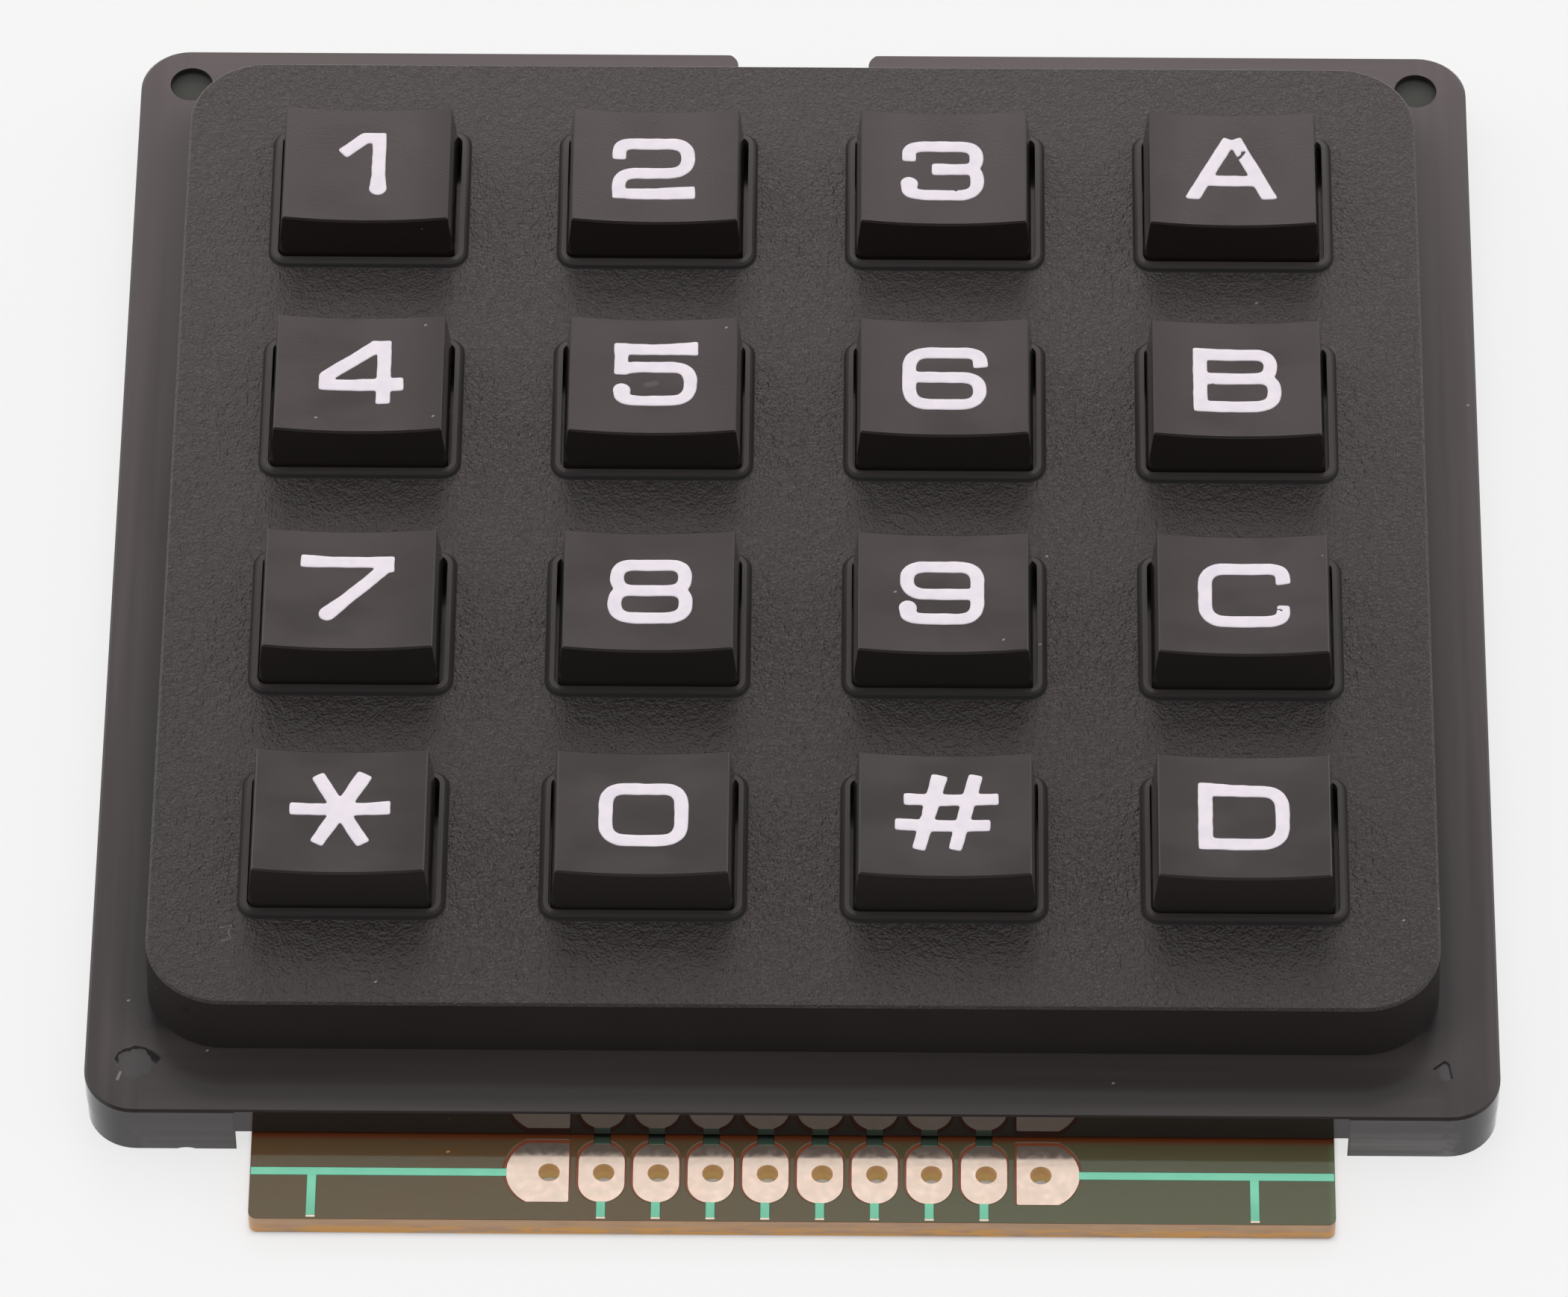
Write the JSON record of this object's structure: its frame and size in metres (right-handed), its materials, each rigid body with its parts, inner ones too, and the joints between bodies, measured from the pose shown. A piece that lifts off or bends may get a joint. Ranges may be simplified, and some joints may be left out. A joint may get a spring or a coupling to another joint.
{
  "type": "matrix keypad",
  "caption": "Square push-button matrix keypad: black housing with a raised field of dished keys, a flange with corner mounting holes, and a board tongue with a row of solder pads.",
  "frame": {"origin": "centre of the rectangle of the four mounting holes, in the plane of the skirt's back rim", "axes": "+Z out of the key faces, +Y towards the rear edge with the gate notch, away from the tongue, +X to the right as the keys are read"},
  "size_m": [0.066, 0.0691, 0.0095],
  "materials": {
    "housing": "black moulded plastic: fine eroded texture on the raised field, satin flange, glossy edges",
    "keycap": "black moulded plastic, satin",
    "legend": "white print with a slight lavender tint",
    "board": "phenolic paper laminate, olive under clear green solder mask, tan at its cut edges",
    "copper": "bare copper foil, bright, slightly pink",
    "mask": "glossy green solder mask, bright teal over copper",
    "silicone": "translucent silicone rubber",
    "carbon": "matt carbon, printed or filled rubber"
  },
  "bodies": {
    "base": {"housing": "housing", "board": "board", "copper_foil": "copper", "contact_print": "carbon", "dome_mat": "silicone"},
    "key_1_body": {"key_1": "keycap", "pill_1": "carbon"},
    "key_2_body": {"key_2": "keycap", "pill_2": "carbon"},
    "key_3_body": {"key_3": "keycap", "pill_3": "carbon"},
    "key_a_body": {"key_a": "keycap", "pill_a": "carbon"},
    "key_4_body": {"key_4": "keycap", "pill_4": "carbon"},
    "key_5_body": {"key_5": "keycap", "pill_5": "carbon"},
    "key_6_body": {"key_6": "keycap", "pill_6": "carbon"},
    "key_b_body": {"key_b": "keycap", "pill_b": "carbon"},
    "key_7_body": {"key_7": "keycap", "pill_7": "carbon"},
    "key_8_body": {"key_8": "keycap", "pill_8": "carbon"},
    "key_9_body": {"key_9": "keycap", "pill_9": "carbon"},
    "key_c_body": {"key_c": "keycap", "pill_c": "carbon"},
    "key_star_body": {"key_star": "keycap", "pill_star": "carbon"},
    "key_0_body": {"key_0": "keycap", "pill_0": "carbon"},
    "key_hash_body": {"key_hash": "keycap", "pill_hash": "carbon"},
    "key_d_body": {"key_d": "keycap", "pill_d": "carbon"}
  },
  "joints": [
    {"name": "press_1", "type": "slide", "parent": "base", "child": "key_1_body", "axis": [0, 0, -1], "range_m": [0, 0.00115], "stiffness_N_per_m": 900, "springref_m": -0.0003, "deforming": ["dome_mat"]},
    {"name": "press_2", "type": "slide", "parent": "base", "child": "key_2_body", "axis": [0, 0, -1], "range_m": [0, 0.00115], "stiffness_N_per_m": 900, "springref_m": -0.0003, "deforming": ["dome_mat"]},
    {"name": "press_3", "type": "slide", "parent": "base", "child": "key_3_body", "axis": [0, 0, -1], "range_m": [0, 0.00115], "stiffness_N_per_m": 900, "springref_m": -0.0003, "deforming": ["dome_mat"]},
    {"name": "press_a", "type": "slide", "parent": "base", "child": "key_a_body", "axis": [0, 0, -1], "range_m": [0, 0.00115], "stiffness_N_per_m": 900, "springref_m": -0.0003, "deforming": ["dome_mat"]},
    {"name": "press_4", "type": "slide", "parent": "base", "child": "key_4_body", "axis": [0, 0, -1], "range_m": [0, 0.00115], "stiffness_N_per_m": 900, "springref_m": -0.0003, "deforming": ["dome_mat"]},
    {"name": "press_5", "type": "slide", "parent": "base", "child": "key_5_body", "axis": [0, 0, -1], "range_m": [0, 0.00115], "stiffness_N_per_m": 900, "springref_m": -0.0003, "deforming": ["dome_mat"]},
    {"name": "press_6", "type": "slide", "parent": "base", "child": "key_6_body", "axis": [0, 0, -1], "range_m": [0, 0.00115], "stiffness_N_per_m": 900, "springref_m": -0.0003, "deforming": ["dome_mat"]},
    {"name": "press_b", "type": "slide", "parent": "base", "child": "key_b_body", "axis": [0, 0, -1], "range_m": [0, 0.00115], "stiffness_N_per_m": 900, "springref_m": -0.0003, "deforming": ["dome_mat"]},
    {"name": "press_7", "type": "slide", "parent": "base", "child": "key_7_body", "axis": [0, 0, -1], "range_m": [0, 0.00115], "stiffness_N_per_m": 900, "springref_m": -0.0003, "deforming": ["dome_mat"]},
    {"name": "press_8", "type": "slide", "parent": "base", "child": "key_8_body", "axis": [0, 0, -1], "range_m": [0, 0.00115], "stiffness_N_per_m": 900, "springref_m": -0.0003, "deforming": ["dome_mat"]},
    {"name": "press_9", "type": "slide", "parent": "base", "child": "key_9_body", "axis": [0, 0, -1], "range_m": [0, 0.00115], "stiffness_N_per_m": 900, "springref_m": -0.0003, "deforming": ["dome_mat"]},
    {"name": "press_c", "type": "slide", "parent": "base", "child": "key_c_body", "axis": [0, 0, -1], "range_m": [0, 0.00115], "stiffness_N_per_m": 900, "springref_m": -0.0003, "deforming": ["dome_mat"]},
    {"name": "press_star", "type": "slide", "parent": "base", "child": "key_star_body", "axis": [0, 0, -1], "range_m": [0, 0.00115], "stiffness_N_per_m": 900, "springref_m": -0.0003, "deforming": ["dome_mat"]},
    {"name": "press_0", "type": "slide", "parent": "base", "child": "key_0_body", "axis": [0, 0, -1], "range_m": [0, 0.00115], "stiffness_N_per_m": 900, "springref_m": -0.0003, "deforming": ["dome_mat"]},
    {"name": "press_hash", "type": "slide", "parent": "base", "child": "key_hash_body", "axis": [0, 0, -1], "range_m": [0, 0.00115], "stiffness_N_per_m": 900, "springref_m": -0.0003, "deforming": ["dome_mat"]},
    {"name": "press_d", "type": "slide", "parent": "base", "child": "key_d_body", "axis": [0, 0, -1], "range_m": [0, 0.00115], "stiffness_N_per_m": 900, "springref_m": -0.0003, "deforming": ["dome_mat"]}
  ]
}
